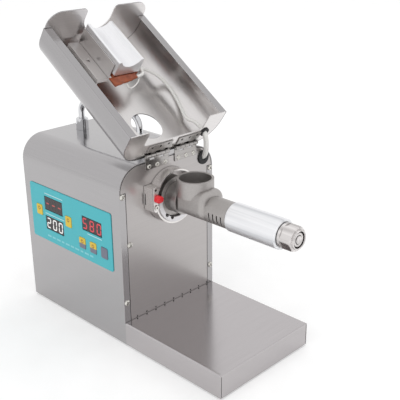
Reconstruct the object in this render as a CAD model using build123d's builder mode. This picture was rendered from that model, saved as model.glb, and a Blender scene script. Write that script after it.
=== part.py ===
"""Screw oil press: a sheet-metal cabinet with a folding heated cover over a press barrel.

Frame: +X runs forward along the press screw, +Z is up, the floor is z = 0, and x = 0 is the
cabinet's front face. The cover stands open, leaning on the carrying handle.
"""
import os
from math import cos, radians, sin

from build123d import *

os.makedirs("parts", exist_ok=True)

# Cabinet sheet metal
body_width = 150.0
cabinet_length = 190.0
cabinet_height = 221.0
shell_radius = 30.0
sheet = 1.2
flange_width = 9.0
joggle = 3.0
seam_gap = 0.3
plate_gap = 0.8
weld_gap = 0.1

# Feet and base tray
foot_height = 2.0
foot_radius = 8.0
foot_inset = 20.0
foot_chamfer = 0.5
tray_length = 155.0
tray_height = 29.0
tray_edge_radius = 2.0
tray_seam = 0.8
tray_seam_depth = 0.8

# Row of small holes low on the front plate
weep_radius = 1.1
weep_count = 9
weep_pitch = 15.0
weep_rise = 1.8
weep_shift = 4.5

# Rear plate: ventilation slots and mains inlet
vent_columns = 6
vent_rows = 4
vent_length = 24.0
vent_width = 3.0
vent_column_pitch = 8.0
vent_row_pitch = 30.0
vent_height = 120.0
inlet_width = 27.4
inlet_height = 19.8
inlet_depth = 22.0
inlet_recess = 16.0
inlet_wall = 2.0
inlet_flange_width = 48.0
inlet_flange_height = 28.0
inlet_flange = 2.5
inlet_corner = 4.0
inlet_offset = 34.0
inlet_level = 38.0
inlet_pin_width = 4.0
inlet_pin_sheet = 2.0
inlet_pin_pitch = 7.0
inlet_pin_rise = 2.0
inlet_pin_length = 14.0

# Carrying handle
rod_radius = 4.0
handle_rear_inset = 29.0
handle_front_inset = 48.0
handle_bend = 14.0
ferrule_radius = 8.0
ferrule_height = 15.0
ferrule_chamfer = 1.2
rod_clearance = 0.1
nut_radius = 7.5
nut_height = 5.0
rod_tail = 3.0

# Cover and its hinges
open_angle = 145.0
hinge_rise = 6.0
knuckle_radius = 2.2
knuckle_count = 5
knuckle_gap = 0.4
knuckle_relief = 5.0
pin_radius = 1.2
pin_clearance = 0.05
leaf_height = 16.0
hinge_length = 36.0
hinge_spacing = 46.0
hinge_shift = 5.5
hinge_clearance = 0.3
cover_length = 175.0
cover_rise = 4.0
cover_wall = 45.4
cover_lip = 10.0
cover_rest_gap = 0.5
feed_hole_radius = 20.0
near_cut_width = 92.0
near_cut_top = 210.0
near_cut_corner = 4.0
far_drop = 22.0
far_corner = 18.0
far_cut_radius = 20.0
far_cut_rise = 5.0
far_cut_corner = 6.0

# Press head: barrel axis, shroud, half ring and lock lever
barrel_height = 175.6
shroud_radius = 33.0
shroud_wall = 2.0
shroud_depth = 14.5
shroud_seat = 4.0
shroud_seat_depth = 4.5
latch_width = 7.4
latch_top = 19.4
latch_bottom = -9.0
latch_slot_start = 1.3
latch_slot_width = 1.6
latch_slot_top = 10.6
latch_slot_bottom = -3.0
latch_slot_depth = 4.0
half_ring_outer = 30.0
half_ring_inner = 24.5
half_ring_depth = 2.0
half_ring_rise = 4.0
half_ring_notch = 3.0
notch_first = 225.0
notch_spread = 45.0
socket_radius = 23.5
socket_depth = 12.5
lever_width = 6.8
lever_sheet = 2.0
lever_gap = 0.3
lever_top = 21.4
lever_bottom = -9.8
lever_pivot = -3.8
lever_hole = 1.6
lever_hole_pitch = 21.0
pivot_head_radius = 2.8
pivot_head = 1.2
pivot_bore = 1.1
pivot_bore_depth = 6.0
lever_range_gap = 0.05
cap_width = 11.0
cap_height = 8.6
cap_depth = 6.5
cap_round = 3.0
cap_level = 6.4
cap_shift = 2.0

# Press chamber, slotted barrel, heat sleeve and end nut
spigot_radius = 17.9
spigot_clearance = 0.1
spigot_start = 2.0
body_radius = 15.5
body_start = 30.0
cup_center = 45.0
cup_radius = 21.6
cup_wall = 3.0
cup_rim = 30.8
cup_foot = 10.6
cup_floor = 11.0
cup_throat = 10.0
tee_width = 37.2
tee_top = 21.8
tee_bottom = -12.7
tee_round = 13.0
tee_inset = 0.8
collar_end = 74.0
collar_round = 7.0
chamber_end = 76.0
barrel_seat = 64.0
barrel_seat_radius = 13.5
bore_radius = 11.3
bore_start = 26.0
slot_count = 4
slot_width = 1.7
slot_pitch = 5.95
slot_first = 80.3
slot_top = 2.0
slot_bottom = -9.0
sleeve_start = 104.0
sleeve_length = 70.0
sleeve_radius = 16.8
sleeve_bore = 13.6
sleeve_chamfer = 1.5
sleeve_fit = 0.1
thread_radius = 11.0
thread_length = 12.0
thread_bore = 8.2
nut_length = 20.0
end_nut_radius = 14.0
end_nut_flats = 27.2
end_nut_flat_length = 11.0
end_nut_mouth = 9.0
end_nut_lip = 5.8
end_nut_chamfer = 1.5
bush_flange = 1.8
bush_radius = 7.6
bush_bore = 5.0
bush_length = 6.5

# Press screw and drive
flight_radius = 11.0
flight_pitch = 20.0
flight_thickness = 3.2
flight_depth = 5.4
flight_start = 28.0
flight_end = 168.0
root_start_radius = 6.0
root_end_radius = 9.0
tip_radius = 4.5
tip_neck = 7.8
tip_end = 193.0
journal_radius = 6.0
running_clearance = 0.05
tail_flats = 8.0
tail_clearance = 0.1
tail_start = -12.0
shaft_radius = 8.0
shaft_rear = -34.0
shaft_front = 1.0
bearing_radius = 15.0
bearing_width = 9.0
bearing_groove = 1.2
plate_hole = 12.0

# Gear housing, motor and fan
gear_width = 80.0
gear_depth = 46.0
gear_top = 36.0
gear_bottom = -80.0
gear_round = 12.0
motor_drop = 48.0
motor_radius = 36.0
motor_length = 92.0
motor_bell = 10.0
motor_bell_radius = 30.0
motor_shaft_radius = 4.0
motor_shaft_depth = 30.0
motor_shaft_tail = 16.0
fan_radius = 30.0
fan_hub = 8.0
fan_width = 9.0
fan_gap = 3.0
fan_blades = 7
fan_blade = 1.6

# Control panel
panel_length = 162.0
panel_height = 74.0
panel_film = 0.8
panel_corner = 3.0
panel_shift = -2.0
panel_level = 130.0
window_width = 37.6
window_height = 18.6
window_gap = 0.3
display_column = -32.5
display_upper = 15.3
display_lower = -11.2
speed_column = 44.2
speed_row = 10.5
display_sink = 0.2
display_corner = 0.6
key_width = 12.0
key_height = 14.0
key_corner = 2.0
key_proud = 0.7
key_gap = 0.3
key_flange = 1.2
key_flange_sheet = 1.0
key_stem = 2.0
key_travel = 0.5
key_switch_gap = 0.1
temp_key_left = -63.0
temp_key_right = -2.0
temp_key_row = 3.0
key_row = -17.0
key_first = 24.0
key_pitch = 21.0
board_length = 147.0
board_height = 68.0
board_depth = 10.0
board_sheet = 1.6
standoff_radius = 3.0
standoff_inset = 4.0
switch_size = 6.0
switch_height = 3.4

# Heater inside the cover and its lead
saddle_gap = 0.4
saddle_half_width = 19.0
saddle_edge = 8.4
saddle_top = 28.4
saddle_start = 105.0
saddle_length = 68.0
saddle_round = 1.5
element_height = 5.0
element_gap = 0.2
element_inset = 1.0
terminal_lap = 1.2
terminal_left = -25.0
terminal_right = 13.0
terminal_left_length = 15.0
terminal_right_length = 9.0
bracket_sheet = 1.5
bracket_start = 110.0
bracket_length = 64.0
bracket_web = 23.0
bracket_shelf = 15.5
bracket_lift = 2.8
bracket_end = 4.5
bracket_foot = 6.5
bracket_hole = 2.0
lead_radius = 3.25
inner_lead_radius = 2.0
grommet_radius = 8.75
grommet_neck = 6.5
grommet_flange = 2.0
grommet_inset = 16.2
grommet_level = 206.5
cover_grommet_radius = 6.0
cover_grommet_neck = 4.6
cover_grommet_flange = 1.6
cover_grommet_inset = 22.0
cover_grommet_drop = 13.5
lead_clearance = 0.1
lead_reach = 12.0
lead_tail = 4.0
lead_bend = 8.0
inner_lead_bend = 6.0
# Hand-laid points of the lead inside the closed cover, from its grommet to the heater's end
inner_lead_points = [
    (22.0, 53.0, 215.5),
    (34.0, 50.0, 223.0),
    (55.0, 58.0, 223.0),
    (83.0, 62.5, 221.0),
    (102.0, 55.8, 217.0),
    (111.4, 43.0, 213.0),
    (113.5, 29.0, 209.0),
    (100.0, 26.0, 206.7),
    (100.0, 13.1, 206.7),
]

# Screws
screw_head = 3.8
screw_head_height = 2.0
screw_head_round = 0.8
screw_shank = 1.9
screw_length = 5.0
screw_clearance = 0.1
screw_inset = 4.5
screw_upper = 190.0
screw_lower = 56.5
plate_screw_inset = 12.4
plate_screw_z = 128.7
hinge_screw_head = 2.8
hinge_screw_head_height = 1.0
hinge_screw_head_round = 0.5
hinge_screw_shank = 1.4
hinge_screw_pitch = 12.5
hinge_screw_drop = 12.4
hinge_screw_length = 4.0

# Values that follow from the sizes above
half_width = body_width / 2
cabinet_top = foot_height + cabinet_height
floor_top = foot_height + sheet
flange_height = cabinet_height - shell_radius - sheet
handle_rear = -cabinet_length + handle_rear_inset
handle_front = -handle_front_inset
panel_center = -cabinet_length / 2 + panel_shift
grommet_y = half_width - grommet_inset
cover_grommet_y = half_width - cover_grommet_inset
plate_screw_y = half_width - plate_screw_inset
hinge_x = knuckle_radius
hinge_z = cabinet_top + hinge_rise
cover_near = knuckle_radius + hinge_clearance
cover_far = cover_near + cover_length
cover_rim = cover_rise - cover_wall
barrel_drop = barrel_height - hinge_z
sleeve_end = sleeve_start + sleeve_length
thread_end = sleeve_end + thread_length
end_nut_end = sleeve_end + nut_length
motor_level = barrel_height - motor_drop
gear_rear = -sheet - gear_depth
motor_rear = gear_rear - motor_length
board_front = -half_width + board_depth


def across(x):
    """Plane across the press: its x is +Y, its y is +Z, its normal is +X."""
    return Plane(origin=(x, 0, 0), x_dir=(0, 1, 0), z_dir=(1, 0, 0))


def beside(y):
    """Plane along the press's side: its x is +X, its y is +Z, its normal is -Y."""
    return Plane(origin=(0, y, 0), x_dir=(1, 0, 0), z_dir=(0, -1, 0))


turn = radians(open_angle)
cover_forward = Vector(cos(turn), 0, sin(turn))
cover_up = Vector(-sin(turn), 0, cos(turn))
hinge_axis = Vector(hinge_x, 0, hinge_z)


def in_cover(forward, sideways, up):
    """Point given from the hinge axis in the cover's own directions."""
    return hinge_axis + cover_forward * forward + Vector(0, sideways, 0) + cover_up * up


def cover_across(forward):
    """Plane across the cover: its x is +Y, its y is the closed cover's up."""
    return Plane(origin=in_cover(forward, 0, 0), x_dir=(0, 1, 0), z_dir=cover_forward)


def cover_level(up):
    """Plane level with the cover's top: its x runs from the hinge to the far end."""
    return Plane(origin=in_cover(0, 0, up), x_dir=cover_forward, z_dir=cover_up)


def arch(width, height, radius):
    """Outline with a flat foot on y = 0, straight sides and a rounded top."""
    with BuildSketch() as outline:
        with Locations((0, height / 2)):
            Rectangle(width, height)
        fillet(outline.vertices().group_by(Axis.Y)[-1], radius)
    return outline.sketch


def round_screw(place, head, head_height, head_round, shank, length):
    """Pan-head screw whose head stands on the given plane."""
    with BuildPart() as screw:
        with BuildSketch(place):
            Circle(head)
        extrude(amount=head_height)
        fillet(screw.faces().sort_by(Axis(place.origin, place.z_dir))[-1].edges(), head_round)
        with BuildSketch(place):
            Circle(shank)
        extrude(amount=-length)
    return screw.part


def write(piece, name):
    """Label a finished piece and write its file."""
    piece.label = name
    export_step(piece, f"parts/{name}.step")


# Cabinet

panel_spot = Vector(panel_center, panel_level)
display_spots = {
    "upper_display": (panel_center + display_column, panel_level + display_upper),
    "lower_display": (panel_center + display_column, panel_level + display_lower),
    "speed_display": (panel_center + speed_column, panel_level + speed_row),
}
key_spots = {
    "temperature_down_key": (panel_center + temp_key_left, panel_level + temp_key_row),
    "temperature_up_key": (panel_center + temp_key_right, panel_level + temp_key_row),
    "speed_down_key": (panel_center + key_first, panel_level + key_row),
    "speed_up_key": (panel_center + key_first + key_pitch, panel_level + key_row),
    "run_key": (panel_center + key_first + 2 * key_pitch, panel_level + key_row),
}
standoff_x = board_length / 2 - standoff_inset
standoff_z = board_height / 2 - standoff_inset
standoff_spots = [
    (panel_center + i * standoff_x, panel_level + j * standoff_z) for i in (-1, 1) for j in (-1, 1)
]
handle_spots = [(handle_rear, 0), (handle_front, 0)]
flange_screw_spots = [
    (i * (half_width - screw_inset), z) for i in (-1, 1) for z in (screw_lower, screw_upper)
]
plate_screw_spots = [(i * plate_screw_y, plate_screw_z) for i in (-1, 1)]
hinge_centers = [hinge_shift + i * hinge_spacing / 2 for i in (-1, 1)]
hinge_screw_spots = [
    (center + j * hinge_screw_pitch, -hinge_screw_drop) for center in hinge_centers for j in (-1, 0, 1)
]

with BuildPart() as cabinet_wrapper:
    with BuildSketch(across(-cabinet_length)):
        with Locations((0, foot_height)):
            add(arch(body_width, cabinet_height, shell_radius))
            add(
                arch(body_width - 2 * sheet, cabinet_height - sheet, shell_radius - sheet),
                mode=Mode.SUBTRACT,
            )
    extrude(amount=cabinet_length)
    for start in (-cabinet_length, -sheet):
        with BuildSketch(across(start)):
            for i in (-1, 1):
                with Locations((i * (body_width - flange_width) / 2, floor_top + flange_height / 2)):
                    Rectangle(flange_width, flange_height)
        extrude(amount=sheet)
        with BuildSketch(across(start)):
            with Locations(*flange_screw_spots):
                Circle(screw_shank + screw_clearance)
        extrude(amount=sheet, mode=Mode.SUBTRACT)
    with BuildSketch(Plane.XY.offset(cabinet_top - sheet)):
        with Locations(*handle_spots):
            Circle(rod_radius + rod_clearance)
    extrude(amount=sheet, mode=Mode.SUBTRACT)
    with BuildSketch(beside(-half_width)):
        with Locations(*display_spots.values()):
            Rectangle(window_width + 2 * window_gap, window_height + 2 * window_gap)
        with Locations(*key_spots.values()):
            RectangleRounded(key_width + 2 * key_gap, key_height + 2 * key_gap, key_corner)
    extrude(amount=-sheet, mode=Mode.SUBTRACT)
write(cabinet_wrapper.part, "cabinet_wrapper")


def end_plate(face, inward):
    """Arched end plate flush with the wrapper's edge, with joggled strips behind the flanges."""
    inset = sheet + plate_gap
    clear = body_width - 2 * (flange_width + plate_gap)
    height = cabinet_height - sheet - inset
    strip = flange_width - sheet + joggle
    with BuildPart() as plate:
        with BuildSketch(across(face)):
            with Locations((0, floor_top)):
                add(arch(body_width - 2 * inset, height, shell_radius - inset))
                for i in (-1, 1):
                    with Locations((i * (clear + flange_width) / 2, flange_height / 2)):
                        Rectangle(flange_width, flange_height + 2 * plate_gap, mode=Mode.SUBTRACT)
        extrude(amount=inward * sheet)
        with BuildSketch(across(face + inward * sheet)):
            for i in (-1, 1):
                with Locations((i * (half_width - inset - strip / 2), floor_top + flange_height / 2)):
                    Rectangle(strip, flange_height)
            with Locations(*flange_screw_spots):
                Circle(screw_shank + screw_clearance, mode=Mode.SUBTRACT)
        extrude(amount=inward * sheet)
    return plate.part


with BuildPart() as front_plate:
    add(end_plate(0, -1))
    with BuildSketch(across(0)):
        with Locations((0, barrel_height)):
            Circle(plate_hole)
        with Locations((grommet_y, grommet_level)):
            Circle(grommet_neck)
        with Locations(*plate_screw_spots):
            Circle(screw_shank + screw_clearance)
        with Locations((weep_shift, foot_height + tray_height + weep_rise)):
            with GridLocations(weep_pitch, weep_pitch, weep_count, 1):
                Circle(weep_radius)
        with Locations(*[(y, hinge_z + drop) for y, drop in hinge_screw_spots]):
            Circle(hinge_screw_shank + screw_clearance)
    extrude(amount=-2 * sheet, mode=Mode.SUBTRACT)
write(front_plate.part, "front_plate")

with BuildPart() as rear_plate:
    add(end_plate(-cabinet_length, 1))
    with BuildSketch(across(-cabinet_length)):
        with Locations((0, vent_height)):
            with GridLocations(vent_row_pitch, vent_column_pitch, vent_rows, vent_columns):
                SlotOverall(vent_length, vent_width)
        with Locations((inlet_offset, inlet_level)):
            Rectangle(inlet_width, inlet_height)
    extrude(amount=sheet, mode=Mode.SUBTRACT)
write(rear_plate.part, "rear_plate")

with BuildPart() as bottom_plate:
    with BuildSketch(Plane.XY.offset(foot_height)):
        with Locations(((tray_length - cabinet_length) / 2, 0)):
            Rectangle(
                cabinet_length + tray_length - 2 * (sheet + seam_gap),
                body_width - 2 * (sheet + seam_gap),
            )
    extrude(amount=sheet)
write(bottom_plate.part, "bottom_plate")

with BuildPart() as base_tray:
    with BuildSketch(Plane.XY.offset(foot_height)):
        with Locations((tray_length / 2, 0)):
            Rectangle(tray_length, body_width)
    extrude(amount=tray_height)
    fillet(
        base_tray.faces().sort_by(Axis.Z)[-1].edges().sort_by(Axis.X)[1:],
        tray_edge_radius,
    )
    with BuildSketch(Plane.XY.offset(foot_height)):
        with Locations(((tray_length - sheet) / 2, 0)):
            Rectangle(tray_length - sheet, body_width - 2 * sheet)
    extrude(amount=tray_height - sheet, mode=Mode.SUBTRACT)
    with BuildSketch(across(tray_length)):
        with Locations(*[(i * (half_width - sheet), foot_height) for i in (-1, 1)]):
            Rectangle(tray_seam, tray_height - tray_edge_radius, align=(Align.CENTER, Align.MIN))
    extrude(amount=-tray_seam_depth, mode=Mode.SUBTRACT)
write(base_tray.part, "base_tray")

with BuildPart() as rubber_feet:
    with BuildSketch():
        with Locations(*[
            (x, i * (half_width - foot_inset))
            for x in (-cabinet_length + foot_inset, tray_length - foot_inset)
            for i in (-1, 1)
        ]):
            Circle(foot_radius)
    extrude(amount=foot_height)
    chamfer(rubber_feet.faces().group_by(Axis.Z)[0].edges(), foot_chamfer)
write(rubber_feet.part, "rubber_feet")

with BuildPart() as front_screws:
    for spot in flange_screw_spots + plate_screw_spots:
        add(
            round_screw(
                across(0).shift_origin((0, *spot)),
                screw_head,
                screw_head_height,
                screw_head_round,
                screw_shank,
                screw_length,
            )
        )
write(front_screws.part, "front_screws")

with BuildPart() as rear_screws:
    for spot in flange_screw_spots:
        add(
            round_screw(
                Plane(origin=(-cabinet_length, *spot), z_dir=(-1, 0, 0)),
                screw_head,
                screw_head_height,
                screw_head_round,
                screw_shank,
                screw_length,
            )
        )
write(rear_screws.part, "rear_screws")

inlet_face = -cabinet_length
with BuildPart() as power_inlet:
    with BuildSketch(across(inlet_face - inlet_flange)):
        with Locations((inlet_offset, inlet_level)):
            RectangleRounded(inlet_flange_width, inlet_flange_height, inlet_corner)
    extrude(amount=inlet_flange)
    with BuildSketch(across(inlet_face)):
        with Locations((inlet_offset, inlet_level)):
            Rectangle(inlet_width - 2 * seam_gap, inlet_height - 2 * seam_gap)
    extrude(amount=inlet_depth)
    with BuildSketch(across(inlet_face - inlet_flange)):
        with Locations((inlet_offset, inlet_level)):
            Rectangle(inlet_width - 2 * inlet_wall, inlet_height - 2 * inlet_wall)
    extrude(amount=inlet_recess, mode=Mode.SUBTRACT)
    with BuildSketch(across(inlet_face - inlet_flange + inlet_recess)):
        with Locations((inlet_offset, inlet_level)):
            with Locations((-inlet_pin_pitch, 0), (0, inlet_pin_rise), (inlet_pin_pitch, 0)):
                Rectangle(inlet_pin_sheet, inlet_pin_width)
    extrude(amount=-inlet_pin_length)
write(power_inlet.part, "power_inlet")

# Carrying handle. The open cover's back leans on the front bend of the rod.

lean = Vector(sin(turn), 0, -cos(turn))
back_reach = hinge_axis.dot(lean) - cover_rise
bend_outer = handle_bend + rod_radius
bend_x = handle_front - handle_bend
bend_z = (back_reach - bend_outer - cover_rest_gap - bend_x * lean.X) / lean.Z
bar_height = bend_z + handle_bend
rod_foot = cabinet_top - sheet - nut_height - rod_tail

with BuildPart() as carry_handle:
    with BuildLine(Plane.XZ):
        FilletPolyline(
            (handle_rear, rod_foot),
            (handle_rear, bar_height),
            (handle_front, bar_height),
            (handle_front, rod_foot),
            radius=handle_bend,
        )
    with BuildSketch(Plane.XY.offset(rod_foot)):
        with Locations((handle_rear, 0)):
            Circle(rod_radius)
    sweep()
write(carry_handle.part, "carry_handle")

with BuildPart() as handle_ferrules:
    with BuildSketch(Plane.XY.offset(cabinet_top)):
        with Locations(*handle_spots):
            Circle(ferrule_radius)
    extrude(amount=ferrule_height)
    chamfer(handle_ferrules.faces().group_by(Axis.Z)[-1].edges(), ferrule_chamfer)
    with BuildSketch(Plane.XY.offset(cabinet_top)):
        with Locations(*handle_spots):
            Circle(rod_radius + rod_clearance)
    extrude(amount=ferrule_height, mode=Mode.SUBTRACT)
write(handle_ferrules.part, "handle_ferrules")

with BuildPart() as handle_nuts:
    with BuildSketch(Plane.XY.offset(cabinet_top - sheet - nut_height)):
        with Locations(*handle_spots):
            RegularPolygon(nut_radius, 6)
            Circle(rod_radius + rod_clearance, mode=Mode.SUBTRACT)
    extrude(amount=nut_height)
write(handle_nuts.part, "handle_nuts")

# Control panel on the cabinet's long side

with BuildPart() as control_overlay:
    with BuildSketch(beside(-half_width)):
        with Locations(panel_spot):
            RectangleRounded(panel_length, panel_height, panel_corner)
        with Locations(*display_spots.values()):
            Rectangle(window_width, window_height, mode=Mode.SUBTRACT)
        with Locations(*key_spots.values()):
            RectangleRounded(
                key_width + 2 * key_gap, key_height + 2 * key_gap, key_corner, mode=Mode.SUBTRACT
            )
    extrude(amount=panel_film)
write(control_overlay.part, "control_overlay")

for name, spot in display_spots.items():
    with BuildPart() as display:
        with BuildSketch(beside(board_front)):
            with Locations(spot):
                Rectangle(window_width - 2 * window_gap, window_height - 2 * window_gap)
        extrude(amount=board_depth + panel_film - display_sink)
        chamfer(display.faces().sort_by(Axis.Y)[0].edges(), display_corner)
    write(display.part, name)

key_back = -half_width + sheet + key_gap
switch_top = board_front - switch_height
for name, spot in key_spots.items():
    with BuildPart() as key:
        with BuildSketch(beside(key_back)):
            with Locations(spot):
                RectangleRounded(key_width, key_height, key_corner)
        extrude(amount=sheet + key_gap + panel_film + key_proud)
        fillet(key.faces().sort_by(Axis.Y)[0].edges(), key_proud / 2)
        with BuildSketch(beside(key_back + key_flange_sheet)):
            with Locations(spot):
                RectangleRounded(key_width + 2 * key_flange, key_height + 2 * key_flange, key_corner)
        extrude(amount=key_flange_sheet)
        with BuildSketch(beside(switch_top - key_travel - key_switch_gap)):
            with Locations(spot):
                Circle(key_stem)
        extrude(until=Until.NEXT)
    write(key.part, name)

with BuildPart() as tact_switches:
    with BuildSketch(beside(board_front)):
        with Locations(*key_spots.values()):
            Rectangle(switch_size, switch_size)
    extrude(amount=switch_height)
write(tact_switches.part, "tact_switches")

with BuildPart() as control_board:
    with BuildSketch(beside(board_front + board_sheet)):
        with Locations(panel_spot):
            Rectangle(board_length, board_height)
    extrude(amount=board_sheet)
write(control_board.part, "control_board")

with BuildPart() as board_standoffs:
    with BuildSketch(beside(board_front)):
        with Locations(*standoff_spots):
            Circle(standoff_radius)
    extrude(amount=board_depth - sheet)
write(board_standoffs.part, "board_standoffs")

# Drive: gear housing on the front plate, motor behind it, fan on the motor's tail

with BuildPart() as gear_housing:
    with BuildSketch(across(gear_rear)):
        with Locations((0, barrel_height + (gear_top + gear_bottom) / 2)):
            RectangleRounded(gear_width, gear_top - gear_bottom, gear_round)
        with Locations((0, barrel_height)):
            Circle(shaft_radius + running_clearance, mode=Mode.SUBTRACT)
    extrude(amount=gear_depth)
    with BuildSketch(across(-sheet)):
        with Locations((0, barrel_height)):
            Circle(bearing_radius + weld_gap)
    extrude(amount=-bearing_width, mode=Mode.SUBTRACT)
write(gear_housing.part, "gear_housing")

with BuildPart() as shaft_bearing:
    with BuildSketch(across(-sheet)):
        with Locations((0, barrel_height)):
            Circle(bearing_radius)
            Circle(shaft_radius + running_clearance, mode=Mode.SUBTRACT)
    extrude(amount=-bearing_width)
    with BuildSketch(across(-sheet)):
        with Locations((0, barrel_height)):
            Circle((bearing_radius + shaft_radius) / 2 + bearing_groove)
            Circle((bearing_radius + shaft_radius) / 2 - bearing_groove, mode=Mode.SUBTRACT)
    extrude(amount=-bearing_groove, mode=Mode.SUBTRACT)
write(shaft_bearing.part, "shaft_bearing")

with BuildPart() as motor:
    with BuildSketch(across(gear_rear)):
        with Locations((0, motor_level)):
            Circle(motor_radius)
    extrude(amount=-(motor_length - motor_bell))
    with BuildSketch(across(motor_rear)):
        with Locations((0, motor_level)):
            Circle(motor_bell_radius)
    extrude(amount=motor_bell)
    with BuildSketch(across(motor_rear)):
        with Locations((0, motor_level)):
            Circle(motor_shaft_radius + running_clearance)
    extrude(amount=motor_shaft_depth + motor_bell, mode=Mode.SUBTRACT)
write(motor.part, "motor")

with BuildPart() as motor_shaft:
    with BuildSketch(across(motor_rear - motor_shaft_tail)):
        with Locations((0, motor_level)):
            Circle(motor_shaft_radius)
    extrude(amount=motor_shaft_tail + motor_shaft_depth)
write(motor_shaft.part, "motor_shaft")

fan_front = motor_rear - fan_gap
fan_plane = across(fan_front).shift_origin((fan_front, 0, motor_level))
with BuildPart() as motor_fan:
    with BuildSketch(fan_plane):
        Circle(fan_hub)
        with PolarLocations(0, fan_blades):
            with Locations((fan_radius / 2, 0)):
                Rectangle(fan_radius, fan_blade)
        Circle(motor_shaft_radius + weld_gap, mode=Mode.SUBTRACT)
    extrude(amount=-fan_width)
write(motor_fan.part, "motor_fan")

# Press head on the front plate

head = across(0).shift_origin((0, 0, barrel_height))
latch_outer = shroud_radius + latch_width - shroud_wall
latch_center = -(latch_outer - lever_width / 2 - seam_gap)

with BuildPart() as chamber_shroud:
    with BuildSketch(head):
        Circle(shroud_radius)
        with Locations((-latch_outer / 2, (latch_top + latch_bottom) / 2)):
            Rectangle(latch_outer, latch_top - latch_bottom)
        Circle(shroud_radius - shroud_wall, mode=Mode.SUBTRACT)
    extrude(amount=shroud_depth)
    with BuildSketch(head.offset(shroud_depth - shroud_seat_depth)):
        Circle(shroud_radius - shroud_wall)
        Circle(shroud_radius - shroud_wall - shroud_seat, mode=Mode.SUBTRACT)
        with Locations((0, shroud_radius / 2)):
            Rectangle(2 * shroud_radius, shroud_radius, mode=Mode.SUBTRACT)
    extrude(amount=shroud_seat_depth)
    with BuildSketch(head.offset(shroud_depth)):
        with Locations((latch_center, lever_pivot)):
            Circle(lever_hole + weld_gap)
    extrude(amount=-shroud_depth, mode=Mode.SUBTRACT)
    with BuildSketch(beside(-latch_outer)):
        with Locations((latch_slot_start, barrel_height + latch_slot_bottom)):
            Rectangle(latch_slot_width, latch_slot_top - latch_slot_bottom, align=(Align.MIN, Align.MIN))
    extrude(amount=-latch_slot_depth, mode=Mode.SUBTRACT)
write(chamber_shroud.part, "chamber_shroud")

with BuildPart() as half_ring:
    with BuildSketch(head.offset(shroud_depth)):
        Circle(half_ring_outer)
        Circle(half_ring_inner, mode=Mode.SUBTRACT)
        with Locations((0, half_ring_rise + half_ring_outer / 2)):
            Rectangle(2 * half_ring_outer, half_ring_outer, mode=Mode.SUBTRACT)
        with PolarLocations(half_ring_inner, 2, start_angle=notch_first, angular_range=notch_spread):
            Circle(half_ring_notch, mode=Mode.SUBTRACT)
    extrude(amount=half_ring_depth)
write(half_ring.part, "half_ring")

with BuildPart() as barrel_socket:
    with BuildSketch(head):
        Circle(socket_radius)
        Circle(spigot_radius + spigot_clearance, mode=Mode.SUBTRACT)
    extrude(amount=socket_depth)
write(barrel_socket.part, "barrel_socket")

lever_face = head.offset(shroud_depth + lever_gap)
with BuildPart() as lock_lever:
    with BuildSketch(lever_face):
        with Locations((latch_center, (lever_top + lever_bottom) / 2)):
            SlotOverall(lever_top - lever_bottom, lever_width, rotation=90)
        with Locations((latch_center, lever_pivot)):
            Circle(lever_hole + lever_range_gap, mode=Mode.SUBTRACT)
        with Locations((latch_center, lever_pivot + lever_hole_pitch)):
            Circle(lever_hole, mode=Mode.SUBTRACT)
    extrude(amount=lever_sheet)
write(lock_lever.part, "lock_lever")

with BuildPart() as lever_pivot_pin:
    with BuildSketch(lever_face.offset(lever_sheet + lever_gap)):
        with Locations((latch_center, lever_pivot)):
            Circle(pivot_head_radius)
    extrude(amount=pivot_head)
    with BuildSketch(head):
        with Locations((latch_center, lever_pivot)):
            Circle(lever_hole)
    extrude(amount=shroud_depth + 2 * lever_gap + lever_sheet)
    with BuildSketch(lever_face.offset(lever_sheet + lever_gap + pivot_head)):
        with Locations((latch_center, lever_pivot)):
            Circle(pivot_bore)
    extrude(amount=-pivot_bore_depth, mode=Mode.SUBTRACT)
write(lever_pivot_pin.part, "lever_pivot_pin")

with BuildPart() as lever_cap:
    with BuildSketch(lever_face.offset(lever_sheet)):
        with Locations((latch_center + cap_shift, cap_level)):
            Ellipse(cap_width / 2, cap_height / 2)
    extrude(amount=cap_depth)
    fillet(lever_cap.faces().sort_by(Axis.X)[-1].edges(), cap_round)
write(lever_cap.part, "lever_cap")

# Press chamber with its feed cup, and the slotted barrel seated in its front

cup_plane = Plane.XY.offset(barrel_height).shift_origin((cup_center, 0, barrel_height))
with BuildPart() as tee_block:
    with BuildSketch(head.offset(cup_center - cup_radius)):
        with Locations((0, (tee_top + tee_bottom) / 2)):
            RectangleRounded(tee_width, tee_top - tee_bottom, tee_round)
    extrude(amount=collar_end - cup_center + cup_radius)
    fillet(tee_block.faces().sort_by(Axis.X)[-1].edges(), collar_round)
    with BuildSketch(cup_plane):
        Circle(cup_radius - tee_inset)
        Rectangle(collar_end - cup_center, 2 * cup_radius, align=(Align.MIN, Align.CENTER))
    extrude(amount=tee_top, both=True, mode=Mode.INTERSECT)

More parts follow.
